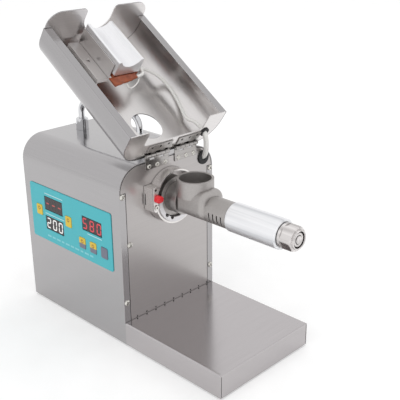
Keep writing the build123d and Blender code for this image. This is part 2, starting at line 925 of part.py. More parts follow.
with BuildPart() as press_chamber:
    with BuildSketch(head.offset(spigot_start)):
        Circle(spigot_radius)
    extrude(amount=body_start - spigot_start)
    add(tee_block.part)
    with BuildSketch(head.offset(cup_center)):
        Circle(body_radius)
    extrude(amount=chamber_end - cup_center)
    with BuildSketch(cup_plane.offset(cup_foot)):
        Circle(cup_radius)
    extrude(amount=cup_rim - cup_foot)
    with BuildSketch(cup_plane.offset(cup_rim)):
        Circle(cup_radius - cup_wall)
    extrude(amount=-(cup_rim - cup_floor), mode=Mode.SUBTRACT)
    with BuildSketch(cup_plane):
        Circle(cup_throat)
    extrude(amount=cup_rim, mode=Mode.SUBTRACT)
    with BuildSketch(head.offset(spigot_start)):
        Circle(journal_radius + running_clearance)
    extrude(amount=bore_start - spigot_start, mode=Mode.SUBTRACT)
    with BuildSketch(head.offset(bore_start)):
        Circle(bore_radius)
    extrude(amount=chamber_end - bore_start, mode=Mode.SUBTRACT)
    with BuildSketch(head.offset(barrel_seat)):
        Circle(barrel_seat_radius)
    extrude(amount=chamber_end - barrel_seat, mode=Mode.SUBTRACT)
write(press_chamber.part, "press_chamber")

with BuildPart() as press_barrel:
    with BuildSketch(head.offset(barrel_seat)):
        Circle(barrel_seat_radius - sleeve_fit)
    extrude(amount=chamber_end - barrel_seat)
    with BuildSketch(head.offset(chamber_end)):
        Circle(body_radius)
    extrude(amount=sleeve_start - chamber_end)
    with BuildSketch(head.offset(sleeve_start)):
        Circle(sleeve_bore - sleeve_fit)
    extrude(amount=sleeve_length)
    with BuildSketch(head.offset(sleeve_end)):
        Circle(thread_radius)
    extrude(amount=thread_length)
    with BuildSketch(head.offset(barrel_seat)):
        Circle(bore_radius)
    extrude(amount=flight_end + seam_gap - barrel_seat, mode=Mode.SUBTRACT)
    with BuildSketch(head.offset(flight_end)):
        Circle(thread_bore)
    extrude(amount=thread_end - flight_end, mode=Mode.SUBTRACT)
    with BuildSketch(beside(0).shift_origin((slot_first, 0, barrel_height))):
        for i in range(slot_count):
            with Locations((i * slot_pitch, (slot_top + slot_bottom) / 2)):
                Rectangle(slot_width, slot_top - slot_bottom)
    extrude(amount=body_radius, both=True, mode=Mode.SUBTRACT)
write(press_barrel.part, "press_barrel")

with BuildPart() as heat_sleeve:
    with BuildSketch(head.offset(sleeve_start)):
        Circle(sleeve_radius)
    extrude(amount=sleeve_length)
    chamfer(heat_sleeve.edges().filter_by(GeomType.CIRCLE), sleeve_chamfer)
    with BuildSketch(head.offset(sleeve_start)):
        Circle(sleeve_bore)
    extrude(amount=sleeve_length, mode=Mode.SUBTRACT)
write(heat_sleeve.part, "heat_sleeve")

with BuildPart() as end_nut:
    with BuildSketch(head.offset(sleeve_end)):
        Circle(end_nut_radius)
    extrude(amount=nut_length)
    chamfer(end_nut.faces().sort_by(Axis.X)[-1].edges(), end_nut_chamfer)
    with BuildSketch(head.offset(end_nut_end - end_nut_flat_length)):
        Circle(end_nut_radius)
        RegularPolygon(end_nut_flats / 2, 6, major_radius=False, mode=Mode.SUBTRACT)
    extrude(amount=end_nut_flat_length, mode=Mode.SUBTRACT)
    with BuildSketch(head.offset(sleeve_end)):
        Circle(thread_radius + sleeve_fit)
    extrude(amount=nut_length - end_nut_lip, mode=Mode.SUBTRACT)
    with BuildSketch(head.offset(sleeve_end)):
        Circle(end_nut_mouth)
    extrude(amount=nut_length, mode=Mode.SUBTRACT)
write(end_nut.part, "end_nut")

with BuildPart() as outlet_bush:
    with BuildSketch(head.offset(thread_end)):
        Circle(thread_radius)
    extrude(amount=bush_flange)
    with BuildSketch(head.offset(thread_end)):
        Circle(bush_radius)
    extrude(amount=bush_length)
    with BuildSketch(head.offset(thread_end)):
        Circle(bush_bore)
    extrude(amount=bush_length, mode=Mode.SUBTRACT)
write(outlet_bush.part, "outlet_bush")

# Press screw: a root that thickens towards the outlet, wrapped in one helical flight

with BuildPart() as press_screw:
    with BuildSketch(beside(0).shift_origin((0, 0, barrel_height))):
        with BuildLine():
            Polyline(
                (spigot_start, 0),
                (spigot_start, journal_radius),
                (bore_start + weld_gap, journal_radius),
                (flight_start, root_start_radius),
                (flight_end, root_end_radius),
                (flight_end, tip_neck),
                (thread_end - bush_flange, tip_neck),
                (thread_end - seam_gap, tip_radius),
                (tip_end, tip_radius),
                (tip_end, 0),
                close=True,
            )
        make_face()
    revolve(axis=Axis((0, 0, barrel_height), (1, 0, 0)))
    with BuildSketch(head.offset(tail_start)):
        RegularPolygon(tail_flats / 2, 6, major_radius=False)
    extrude(amount=spigot_start - tail_start)
    with BuildLine() as flight_path:
        flight_line = Helix(
            flight_pitch,
            flight_end - flight_start - 2 * flight_thickness,
            flight_radius - flight_depth / 2,
            center=(flight_start + flight_thickness, 0, barrel_height),
            direction=(1, 0, 0),
        )
    flight_foot = flight_line.position_at(0)
    outward = flight_foot - Vector(flight_foot.X, 0, barrel_height)
    with BuildSketch(Plane(origin=flight_foot, x_dir=outward, z_dir=flight_line.tangent_at(0))):
        Rectangle(flight_depth, flight_thickness)
    sweep(path=flight_path.line, is_frenet=True)
write(press_screw.part, "press_screw")

with BuildPart() as drive_shaft:
    with BuildSketch(head.offset(shaft_rear)):
        Circle(shaft_radius)
    extrude(amount=shaft_front - shaft_rear)
    with BuildSketch(head.offset(shaft_front)):
        RegularPolygon(tail_flats / 2 + tail_clearance, 6, major_radius=False)
    extrude(amount=-(shaft_front - tail_start + seam_gap), mode=Mode.SUBTRACT)
write(drive_shaft.part, "drive_shaft")

# Hinges: fixed leaves on the front plate, moving leaves on the cover, one pin each

segment = hinge_length / knuckle_count
knuckle_length = segment - knuckle_gap


def hinge_leaves(face, first):
    """Pair of leaves from the given plane forward, with every second knuckle from the first one on."""
    spots = [
        [center - hinge_length / 2 + (i + 0.5) * segment for i in range(knuckle_count)]
        for center in hinge_centers
    ]
    own = [y for row in spots for y in row[first::2]]
    other = [y for row in spots for y in row[1 - first::2]]
    with BuildPart() as leaves:
        with BuildSketch(face):
            with Locations(*[(center, -leaf_height / 2) for center in hinge_centers]):
                Rectangle(hinge_length, leaf_height)
            with Locations(*[(y, -knuckle_relief / 2) for y in other]):
                Rectangle(segment + knuckle_gap, knuckle_relief, mode=Mode.SUBTRACT)
            with Locations(*hinge_screw_spots):
                Circle(hinge_screw_shank + screw_clearance, mode=Mode.SUBTRACT)
        extrude(amount=sheet)
        for y in own:
            with BuildSketch(beside(y).shift_origin((hinge_x, y, hinge_z))):
                Circle(knuckle_radius)
            extrude(amount=knuckle_length / 2, both=True)
        with BuildSketch(beside(0).shift_origin(hinge_axis)):
            Circle(pin_radius + pin_clearance)
        extrude(amount=half_width, both=True, mode=Mode.SUBTRACT)
    return leaves.part


write(hinge_leaves(across(0).shift_origin((0, 0, hinge_z)), 0), "hinge_fixed_leaves")
write(hinge_leaves(cover_across(cover_near - sheet), 1), "hinge_moving_leaves")

with BuildPart() as hinge_pins:
    for center in hinge_centers:
        with BuildSketch(beside(center).shift_origin((hinge_x, center, hinge_z))):
            Circle(pin_radius)
        extrude(amount=hinge_length / 2, both=True)
write(hinge_pins.part, "hinge_pins")

with BuildPart() as hinge_screws:
    for y, drop in hinge_screw_spots:
        add(
            round_screw(
                Plane(origin=(sheet, y, hinge_z + drop), z_dir=(1, 0, 0)),
                hinge_screw_head,
                hinge_screw_head_height,
                hinge_screw_head_round,
                hinge_screw_shank,
                hinge_screw_length,
            )
        )
write(hinge_screws.part, "hinge_screws")

with BuildPart() as cover_hinge_screws:
    for y, drop in hinge_screw_spots:
        add(
            round_screw(
                Plane(origin=in_cover(cover_near + sheet, y, drop), z_dir=cover_forward),
                hinge_screw_head,
                hinge_screw_head_height,
                hinge_screw_head_round,
                hinge_screw_shank,
                2 * sheet,
            )
        )
write(cover_hinge_screws.part, "cover_hinge_screws")

# Cover: trough-shaped shell, closed by a cut-out plate at each end

plate_inset = sheet + weld_gap
near_cut_level = near_cut_top - hinge_z

with BuildPart() as cover_shell:
    with BuildSketch(cover_across(cover_near)):
        with Locations((0, cover_rim)):
            add(arch(body_width, cover_wall, shell_radius))
            add(
                arch(body_width - 2 * sheet, cover_wall - sheet, shell_radius - sheet),
                mode=Mode.SUBTRACT,
            )
    extrude(amount=cover_length)
    with BuildSketch(cover_across(cover_near + plate_inset)):
        with Locations(*[(i * (body_width - cover_lip) / 2, cover_rim + sheet / 2) for i in (-1, 1)]):
            Rectangle(cover_lip, sheet)
    extrude(amount=cover_length - 2 * plate_inset)
    with BuildSketch(cover_level(cover_rise)):
        with Locations((cup_center - hinge_x, 0)):
            Circle(feed_hole_radius)
    extrude(amount=-sheet, mode=Mode.SUBTRACT)
write(cover_shell.part, "cover_shell")

with BuildPart() as cover_near_plate:
    with BuildSketch(cover_across(cover_near)) as near_outline:
        with Locations((0, cover_rim)):
            add(arch(body_width - 2 * plate_inset, cover_wall - plate_inset, shell_radius - plate_inset))
            add(
                arch(near_cut_width, near_cut_level - cover_rim, near_cut_corner),
                mode=Mode.SUBTRACT,
            )
        fillet(near_outline.vertices().group_by(Axis.Y)[0].sort_by(Axis.X)[1:3], near_cut_corner)
        with Locations((cover_grommet_y, -cover_grommet_drop)):
            Circle(cover_grommet_neck, mode=Mode.SUBTRACT)
        with Locations(*hinge_screw_spots):
            Circle(hinge_screw_shank + screw_clearance, mode=Mode.SUBTRACT)
    extrude(amount=sheet)
write(cover_near_plate.part, "cover_near_plate")

with BuildPart() as cover_far_plate:
    with BuildSketch(cover_across(cover_far)) as far_outline:
        with Locations((0, cover_rim - far_drop)):
            add(
                arch(
                    body_width - 2 * plate_inset,
                    cover_wall - plate_inset + far_drop,
                    shell_radius - plate_inset,
                )
            )
        fillet(far_outline.vertices().group_by(Axis.Y)[0], far_corner)
        with Locations((0, barrel_drop + far_cut_rise)):
            Circle(far_cut_radius, mode=Mode.SUBTRACT)
            Rectangle(
                2 * far_cut_radius,
                barrel_drop + far_cut_rise - cover_rim + far_drop,
                align=(Align.CENTER, Align.MAX),
                mode=Mode.SUBTRACT,
            )
        fillet(far_outline.vertices().group_by(Axis.Y)[0].sort_by(Axis.X)[1:3], far_cut_corner)
    extrude(amount=-sheet)
write(cover_far_plate.part, "cover_far_plate")

# Heater on its bracket under the cover's top

with BuildPart() as heater_saddle:
    with BuildSketch(cover_across(saddle_start - hinge_x)) as saddle_profile:
        with Locations((0, barrel_drop + saddle_edge)):
            Rectangle(2 * saddle_half_width, saddle_top - saddle_edge, align=(Align.CENTER, Align.MIN))
        fillet(saddle_profile.vertices(), saddle_round)
        with Locations((0, barrel_drop)):
            Circle(sleeve_radius + saddle_gap, mode=Mode.SUBTRACT)
    extrude(amount=saddle_length)
write(heater_saddle.part, "heater_saddle")

element_floor = barrel_drop + saddle_top + element_gap
terminal_end = saddle_start - hinge_x + terminal_lap
with BuildPart() as heater_element:
    with BuildSketch(cover_level(element_floor)):
        with Locations((saddle_start - hinge_x, 0)):
            Rectangle(
                saddle_length,
                2 * (saddle_half_width - element_inset),
                align=(Align.MIN, Align.CENTER),
            )
        with BuildLine():
            Polyline(
                (terminal_end, terminal_left),
                (terminal_end - terminal_left_length, terminal_left + terminal_lap),
                (terminal_end - terminal_right_length, terminal_right),
                (terminal_end, terminal_right),
                close=True,
            )
        make_face()
    extrude(amount=element_height)
write(heater_element.part, "heater_element")

shelf_outer = -saddle_half_width - bracket_shelf - bracket_sheet
shelf_level = element_floor + element_height + bracket_lift
cover_ceiling = cover_rise - sheet
with BuildPart() as heater_bracket:
    with BuildSketch(cover_across(bracket_start - hinge_x)):
        with Locations((-saddle_half_width, shelf_level + bracket_sheet)):
            Rectangle(bracket_sheet, bracket_web, align=(Align.MAX, Align.MAX))
        with Locations((shelf_outer, shelf_level)):
            Rectangle(bracket_shelf + bracket_sheet, bracket_sheet, align=(Align.MIN, Align.MIN))
            Rectangle(bracket_sheet, cover_ceiling - shelf_level, align=(Align.MIN, Align.MIN))
        with Locations((shelf_outer + bracket_sheet, cover_ceiling)):
            Rectangle(bracket_foot + bracket_sheet, bracket_sheet, align=(Align.MAX, Align.MAX))
    extrude(amount=bracket_length)
    with BuildSketch(cover_across(bracket_start - hinge_x)):
        with Locations((shelf_outer, shelf_level)):
            Rectangle(bracket_shelf, bracket_end, align=(Align.MIN, Align.MIN))
    extrude(amount=bracket_sheet)
    with BuildSketch(cover_level(shelf_level)):
        with Locations((bracket_start + bracket_length / 2 - hinge_x, shelf_outer + bracket_shelf / 2)):
            Circle(bracket_hole)
    extrude(amount=bracket_sheet, mode=Mode.SUBTRACT)
write(heater_bracket.part, "heater_bracket")

# Heater lead: sleeved loop across the hinge, and the run inside the cover

with BuildPart() as front_grommet:
    with BuildSketch(across(0)):
        with Locations((grommet_y, grommet_level)):
            Circle(grommet_radius)
    extrude(amount=grommet_flange)
    fillet(front_grommet.faces().sort_by(Axis.X)[-1].edges(), grommet_flange / 2)
    with BuildSketch(across(0)):
        with Locations((grommet_y, grommet_level)):
            Circle(grommet_neck - weld_gap)
    extrude(amount=-2 * sheet)
    with BuildSketch(across(grommet_flange)):
        with Locations((grommet_y, grommet_level)):
            Circle(lead_radius + lead_clearance)
    extrude(amount=-(grommet_flange + 2 * sheet), mode=Mode.SUBTRACT)
write(front_grommet.part, "front_grommet")

grommet_spot = (cover_grommet_y, -cover_grommet_drop)
with BuildPart() as cover_grommet:
    with BuildSketch(cover_across(cover_near - cover_grommet_flange)):
        with Locations(grommet_spot):
            Circle(cover_grommet_radius)
    extrude(amount=cover_grommet_flange)
    with BuildSketch(cover_across(cover_near)):
        with Locations(grommet_spot):
            Circle(cover_grommet_neck - weld_gap)
    extrude(amount=2 * sheet)
    with BuildSketch(cover_across(cover_near - cover_grommet_flange)):
        with Locations(grommet_spot):
            Circle(lead_radius + lead_clearance)
    extrude(amount=cover_grommet_flange + 2 * sheet, mode=Mode.SUBTRACT)
write(cover_grommet.part, "cover_grommet")

lead_end = in_cover(cover_near + lead_tail, cover_grommet_y, -cover_grommet_drop)
lead_route = [
    Vector(-lead_tail, grommet_y, grommet_level),
    Vector(lead_reach, grommet_y, grommet_level),
    in_cover(cover_near - lead_reach, cover_grommet_y, -cover_grommet_drop),
    lead_end,
]
with BuildPart() as heater_lead:
    with BuildLine() as lead_line:
        FilletPolyline(*lead_route, radius=lead_bend)
    with BuildSketch(across(-lead_tail)):
        with Locations((grommet_y, grommet_level)):
            Circle(lead_radius)
    sweep(path=lead_line.line)
write(heater_lead.part, "heater_lead")

inner_route = [in_cover(x - hinge_x, y, z - hinge_z) for x, y, z in inner_lead_points]
with BuildPart() as cover_lead:
    with BuildLine() as inner_line:
        FilletPolyline(lead_end, *inner_route, radius=inner_lead_bend)
    with BuildSketch(Plane(origin=lead_end, z_dir=inner_line.wire().tangent_at(0))):
        Circle(inner_lead_radius)
    sweep(path=inner_line.line)
write(cover_lead.part, "cover_lead")
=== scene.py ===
"""Looks of a screw oil press: finishes, digits, screws, end nut, heater film and leads.

They go round its CAD frame. Sizes and places are in millimetres, and mm() turns them into the
frame's metres. +X runs forward along the press screw, +Z is up, and the control panel is on the
-Y side.
"""

from math import cos, pi, radians, sin

import bmesh
import bpy
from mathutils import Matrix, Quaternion, Vector
from mathutils.noise import noise as crinkle


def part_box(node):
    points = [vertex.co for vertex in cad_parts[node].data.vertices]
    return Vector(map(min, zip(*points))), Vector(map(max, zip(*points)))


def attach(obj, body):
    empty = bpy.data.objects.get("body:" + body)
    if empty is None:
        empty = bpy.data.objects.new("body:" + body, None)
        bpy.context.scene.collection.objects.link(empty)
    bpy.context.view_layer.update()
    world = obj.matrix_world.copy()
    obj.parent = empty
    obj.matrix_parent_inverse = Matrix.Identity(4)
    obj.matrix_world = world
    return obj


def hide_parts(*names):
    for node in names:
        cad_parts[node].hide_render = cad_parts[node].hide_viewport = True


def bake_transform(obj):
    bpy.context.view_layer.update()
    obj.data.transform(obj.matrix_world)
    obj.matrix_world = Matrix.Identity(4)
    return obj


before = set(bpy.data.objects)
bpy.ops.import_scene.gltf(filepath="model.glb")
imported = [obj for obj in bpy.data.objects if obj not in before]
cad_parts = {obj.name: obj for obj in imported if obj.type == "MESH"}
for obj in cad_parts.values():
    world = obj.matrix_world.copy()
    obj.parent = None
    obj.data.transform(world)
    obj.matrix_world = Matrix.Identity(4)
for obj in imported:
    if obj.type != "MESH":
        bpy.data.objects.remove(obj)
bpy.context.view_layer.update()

millimetre = 0.001

# Places shared with the part's source
hinge_x = 2.2
hinge_z = 229.0
open_angle = radians(145)
cover_turn = (0, -open_angle, 0)
cover_near = 2.5
panel_face = -75.8
display_face = -75.6


def mm(*values):
    """Point or size in metres from millimetres."""
    return (Vector(values) if len(values) > 1 else values[0]) * millimetre


def in_cover(forward, sideways, up):
    """Point in metres, given from the hinge axis in the open cover's own directions."""
    x = hinge_x + forward * cos(open_angle) - up * sin(open_angle)
    z = hinge_z + forward * sin(open_angle) + up * cos(open_angle)
    return mm(x, sideways, z)


def srgb(code):
    """Linear colour of an sRGB hex value."""
    channels = [int(code[i:i + 2], 16) / 255 for i in (1, 3, 5)]
    linear = [c / 12.92 if c <= 0.04045 else ((c + 0.055) / 1.055) ** 2.4 for c in channels]
    return (*linear, 1)


def node(tree, kind, sockets=None, **settings):
    """Add a shader node; a socket takes a value, another node's first output, or a given output."""
    made = tree.nodes.new("ShaderNode" + kind)
    for name, value in settings.items():
        setattr(made, name, value)
    for name, value in (sockets or {}).items():
        source = value.outputs[0] if isinstance(value, bpy.types.Node) else value
        if isinstance(source, bpy.types.NodeSocket):
            tree.links.new(source, made.inputs[name])
        else:
            made.inputs[name].default_value = source
    return made


def new_tree(name):
    """Empty material and its node tree."""
    made = bpy.data.materials.new(name)
    made.use_nodes = True
    made.node_tree.nodes.clear()
    return made, made.node_tree


# Noise values that a pattern stretches to 0 and 1
cloud_low = 0.3
cloud_high = 0.7

# Numbers of a colour Mix node's sockets, because their names repeat for each kind of data
mix_share = 0
mix_first = 6
mix_second = 7
mixed = 2

# Painted shade in corners and seams: its colour, and how open a spot is where the shade is full and where
# it ends
painted_shade_tone = "#191614"
painted_shade_full = 0.2
painted_shade_end = 0.75


def grain(tree, size, detail=3.0, turn=(0, 0, 0)):
    """Cloudy pattern from 0 to 1, with grains of the given size in millimetres along each axis."""
    drawn = node(
        tree,
        "Mapping",
        {"Vector": node(tree, "TexCoord").outputs["Object"], "Rotation": turn, "Scale": mm(*size)},
        vector_type="TEXTURE",
    )
    cloud = node(tree, "TexNoise", {"Vector": drawn, "Scale": 1.0, "Detail": detail})
    return node(tree, "MapRange", {"Value": cloud, "From Min": cloud_low, "From Max": cloud_high})


def finish(tree, pattern, tones, rough, depth=0.01, strength=0.1, edge=0.0, painted_shade=0.0, **sockets):
    """Surface that goes with a pattern from one tone and roughness to the other.

    The pattern is also a bump with a depth in millimetres. An edge radius rounds what the light
    sees of sharp edges, and painted shade darkens corners and seams up to that distance.
    """
    varied = {mix_share: pattern, mix_first: tones[0], mix_second: tones[1]}
    tone = node(tree, "Mix", varied, data_type="RGBA").outputs[mixed]
    # Painted shade: the colour darkens where nearby surfaces hem a spot in, as shade falls there
    if painted_shade:
        bare = node(tree, "AmbientOcclusion", {"Distance": mm(painted_shade)}, samples=8).outputs["AO"]
        unshaded = node(tree, "MapRange", {"Value": bare, "From Min": painted_shade_full, "From Max": painted_shade_end})
        shaded = {mix_share: unshaded, mix_first: srgb(painted_shade_tone), mix_second: tone}
        tone = node(tree, "Mix", shaded, data_type="RGBA").outputs[mixed]
    relief = {"Height": pattern, "Distance": mm(depth), "Strength": strength}
    if edge:
        relief["Normal"] = node(tree, "Bevel", {"Radius": mm(edge)}, samples=4)
    shader = {
        "Base Color": tone,
        "Roughness": node(tree, "MapRange", {"Value": pattern, "To Min": rough[0], "To Max": rough[1]}),
        "Normal": node(tree, "Bump", relief),
    }
    shader.update({name.replace("_", " "): value for name, value in sockets.items()})
    node(tree, "OutputMaterial", {"Surface": node(tree, "BsdfPrincipled", shader)})


def satin_stainless(name, lay, tone, shade, rough, turn=(0, 0, 0), painted_shade=2.5):
    """Rolled stainless sheet, fine one-way grain: satin grey, soft smooth reflections, painted shade in
    the seams.
    """
    made, tree = new_tree(name)
    lines = grain(tree, lay, detail=2.0, turn=turn)
    tones = (srgb(tone), srgb(shade))
    finish(tree, lines, tones, rough, depth=0.004, strength=0.03, edge=0.7, painted_shade=painted_shade, Metallic=1.0)
    return made


cover_outside_rough = (0.2, 0.21)
cover_inside_rough = (0.29, 0.3)


def cover_stainless(name, lay, outside, inside, middle):
    """Stainless of the cover: satin outside; the faces towards its middle have a rougher mill finish,
    painted paler as light falling into the trough.
    """
    made, tree = new_tree(name)
    lines = grain(tree, lay, detail=2.0, turn=cover_turn)
    place = node(tree, "TexCoord").outputs
    aside = node(tree, "VectorMath", {0: place["Object"], 1: middle}, operation="SUBTRACT")
    facing = node(tree, "VectorMath", {0: place["Normal"], 1: aside}, operation="DOT_PRODUCT")
    inner = node(tree, "Math", {0: facing.outputs["Value"], 1: 0.0}, operation="LESS_THAN")
    tones = []
    for out, into in zip(outside, inside):
        sides = {mix_share: inner, mix_first: srgb(out), mix_second: srgb(into)}
        tones.append(node(tree, "Mix", sides, data_type="RGBA").outputs[mixed])
    rough = [
        node(tree, "MapRange", {"Value": inner, "To Min": out, "To Max": into})
        for out, into in zip(cover_outside_rough, cover_inside_rough)
    ]
    finish(tree, lines, tones, rough, depth=0.004, strength=0.03, edge=0.5, painted_shade=2.5, Metallic=1.0)
    return made


def hinge_steel():
    """Pressed stainless of the hinges: like the sheet, with painted shade darkening the gaps of the
    knuckles.
    """
    made, tree = new_tree("pressed_hinge_steel")
    # The grain is drawn as coarse as the sheet's, so that it shows.
    lines = grain(tree, (0.5, 30, 0.5), detail=2.0)
    tones = (srgb("#B6B3B1"), srgb("#A19D9B"))
    finish(tree, lines, tones, (0.16, 0.24), depth=0.01, edge=0.6, painted_shade=3.2, Metallic=1.0)
    return made


def bright_chrome():
    """Chrome plating on polished rod: a near mirror with faint handling marks."""
    made, tree = new_tree("chrome_plating")
    marks = grain(tree, (9, 9, 9), detail=4.0)
    finish(tree, marks, (srgb("#D6D6D8"), srgb("#C8C9CC")), (0.05, 0.14), edge=0.5, Metallic=1.0)
    return made


def zinc_plating():
    """Zinc-plated steel of screws, pins and nuts: bright, a little cloudy and yellowish."""
    made, tree = new_tree("zinc_plating")
    cloud = grain(tree, (1.6, 1.6, 1.6))
    tones = (srgb("#E4E2DD"), srgb("#CCC9C2"))
    finish(tree, cloud, tones, (0.18, 0.32), depth=0.03, strength=0.15, painted_shade=1.5, Metallic=1.0)
    return made


def cast_stainless():
    """Investment-cast stainless, shot-blasted: an even satin grey with a fine pebbled skin."""
    made, tree = new_tree("blasted_cast_stainless")
    # The real grit is about 0.2 mm; it is drawn at 0.7 mm so that it shows.
    grit = grain(tree, (0.7, 0.7, 0.7), detail=2.0)
    tones = (srgb("#B8B4B2"), srgb("#A8A4A2"))
    finish(tree, grit, tones, (0.42, 0.5), depth=0.05, strength=0.25, edge=0.8, painted_shade=1.5, Metallic=1.0)
    return made


def satin_aluminium(name, lay, tone, shade, turn=(0, 0, 0)):
    """Drawn or extruded aluminium: very pale satin, with faint lines along the draw."""
    made, tree = new_tree(name)
    lines = grain(tree, lay, detail=2.0, turn=turn)
    tones = (srgb(tone), srgb(shade))
    finish(tree, lines, tones, (0.4, 0.5), depth=0.004, strength=0.08, edge=0.6, painted_shade=2.0, Metallic=1.0)
    return made


def polished_steel():
    """Ground and polished tool steel: sharp reflections, and painted reflections in broad bands of light
    and dark.
    """
    made, tree = new_tree("polished_tool_steel")
    # Painted reflections: the colour runs from light to dark in long bands
    bands = grain(tree, (200, 7, 7), detail=2.0)
    tones = (srgb("#EFEBEA"), srgb("#B2AEAD"))
    finish(tree, bands, tones, (0.14, 0.2), depth=0.01, edge=1.2, painted_shade=3.5, Metallic=1.0)
    return made


def rubber():
    """Moulded black rubber: dull, slightly dusty."""
    made, tree = new_tree("moulded_black_rubber")
    dust = grain(tree, (1.2, 1.2, 1.2), detail=4.0)
    finish(tree, dust, (srgb("#161618"), srgb("#28282A")), (0.5, 0.7), depth=0.05, strength=0.2, edge=0.5)
    return made


def even_skin(name, tone, shade, rough=(0.3, 0.42)):
    """Moulded plastic, enamel or ink: one even colour under a light, fine texture."""
    made, tree = new_tree(name)
    # Such pits are about 0.1 mm wide; they are drawn at 0.8 mm so that they show.
    pits = grain(tree, (0.8, 0.8, 0.8))
    finish(tree, pits, (srgb(tone), srgb(shade)), rough, depth=0.02, strength=0.15, edge=0.3, IOR=1.5)
    return made


def overlay_film():
    """Screen-printed polyester film: even teal ink under a finely textured satin face."""
    made, tree = new_tree("printed_polyester_film")
    # The face's texture is about 0.1 mm; it is drawn at 0.6 mm so that it shows.
    skin = grain(tree, (0.6, 0.6, 0.6), detail=2.0)
    finish(tree, skin, (srgb("#3FB8C3"), srgb("#47BDC7")), (0.38, 0.5), strength=0.15, edge=0.4, IOR=1.57)
    return made


def display_filter():
    """Smoked acrylic filter over the digits: near black and glossy, with a trace of red."""
    made, tree = new_tree("smoked_acrylic_filter")
    haze = grain(tree, (12, 12, 12))
    finish(tree, haze, (srgb("#241D20"), srgb("#30272B")), (0.2, 0.3), IOR=1.49)
    return made


def lit_segment(name, tone, glow):
    """Lit display segment: a diffused light-emitting bar, a little brighter in places."""
    made, tree = new_tree(name)
    bloom = grain(tree, (3, 3, 3))
    glows = {mix_share: bloom, mix_first: srgb(tone), mix_second: srgb(glow)}
    shine = node(tree, "Mix", glows, data_type="RGBA").outputs[mixed]
    tones = (srgb("#1A1416"), srgb("#201A1C"))
    finish(tree, bloom, tones, (0.4, 0.5), Emission_Color=shine, Emission_Strength=1.0)
    return made


# Ring mark on a yellow key: how far above the key's middle, its radius and half its line width
key_ring_lift = 2.2
key_ring_radius = 1.9
key_ring_half_line = 0.6
key_wear = 0.06


def key_film(name, center, split):
    """Satin key: yellow with a brown ring mark, and slate from the split's drop below its middle."""
    made, tree = new_tree(name)
    # The texture is about 0.1 mm; it is drawn at 0.6 mm so that it shows.
    skin = grain(tree, (0.6, 0.6, 0.6))
    place = node(tree, "TexCoord").outputs["Object"]
    height = node(tree, "SeparateXYZ", {0: place}).outputs["Z"]
    lower = node(tree, "Math", {0: height, 1: center.z - mm(split)}, operation="LESS_THAN")
    ring_center = center + mm(0, 0, key_ring_lift)
    reach = node(tree, "VectorMath", {0: place, 1: ring_center}, operation="DISTANCE")
    line = {0: reach.outputs["Value"], 1: mm(key_ring_radius), 2: mm(key_ring_half_line)}
    ring = node(tree, "Math", line, operation="COMPARE")
    marked = {mix_share: ring, mix_first: srgb("#E6C63E"), mix_second: srgb("#A06C2C")}
    upper = node(tree, "Mix", marked, data_type="RGBA").outputs[mixed]
    halves = {mix_share: lower, mix_first: upper, mix_second: srgb("#74788A")}
    face = node(tree, "Mix", halves, data_type="RGBA").outputs[mixed]
    rubbed = {mix_share: key_wear, mix_first: face, mix_second: srgb("#806A20")}
    worn = node(tree, "Mix", rubbed, data_type="RGBA").outputs[mixed]
    finish(tree, skin, (face, worn), (0.4, 0.52), strength=0.15, edge=0.4, IOR=1.5)
    return made


def amber_film():
    """Polyimide film wrapped round the heater: amber over copper brown, crinkled and shiny."""
    made, tree = new_tree("polyimide_film")
    crease = grain(tree, (4, 7, 4), detail=4.0)
    tones = (srgb("#A9552F"), srgb("#7E3B20"))
    finish(tree, crease, tones, (0.3, 0.45), depth=0.4, strength=0.5, painted_shade=2.0, IOR=1.5)
    return made


def glass_sleeve():
    """Braided glass-fibre sleeve: white, soft, with crossing strands."""
    made, tree = new_tree("glass_fibre_sleeve")
    # The strands are about 0.4 mm wide; they are drawn at 1 mm so that the braid shows.
    left = grain(tree, (1.0, 1.0, 6.0), turn=(radians(45), 0, 0))
    right = grain(tree, (1.0, 1.0, 6.0), turn=(radians(-45), 0, 0))
    braid = node(tree, "Math", {0: left, 1: right}, operation="MAXIMUM")
    tones = (srgb("#E6E4E0"), srgb("#FAF9F6"))
    finish(tree, braid, tones, (0.55, 0.65), depth=0.3, strength=0.4, IOR=1.5)
    return made


def board_laminate():
    """Circuit board under green solder mask, with the weave faintly showing."""
    made, tree = new_tree("solder_mask")
    weave = grain(tree, (1.5, 1.5, 0.5))
    finish(tree, weave, (srgb("#1E6B35"), srgb("#175A2B")), (0.3, 0.42), IOR=1.55)
    return made


def dress(look, *names):
    """Give CAD nodes their material."""
    for name in names:
        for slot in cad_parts[name].material_slots:
            slot.material = look


def place_mesh(name, mesh_maker, look, body):
    """Piece from a bmesh, with its material and its body."""
    mesh = bpy.data.meshes.new(name)
    mesh_maker.to_mesh(mesh)
    mesh_maker.free()
    mesh.materials.append(look)
    piece = bpy.data.objects.new(name, mesh)
    bpy.context.collection.objects.link(piece)
    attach(piece, body)
    return piece


# Finishes of the CAD pieces

# Lay of the rolled grain. Its lines are about 0.05 mm wide; they are drawn at 0.5 mm so that they show.
lay_along = (80, 0.5, 0.5)
lay_across = (0.5, 80, 0.5)
# Painted reflections: broad bands of light and dark along a drawn tube
painted_reflection_bands = (400, 8, 8)
sheet_side = satin_stainless("satin_stainless_along", lay_along, "#B0AEAF", "#ABA9AA", (0.17, 0.18))
sheet_front = satin_stainless("satin_stainless_across", lay_across, "#B9B5B4", "#B4B0AF", (0.28, 0.3))
sheet_tray = satin_stainless("satin_stainless_tray", lay_across, "#BCB8B9", "#B7B3B4", (0.18, 0.19))
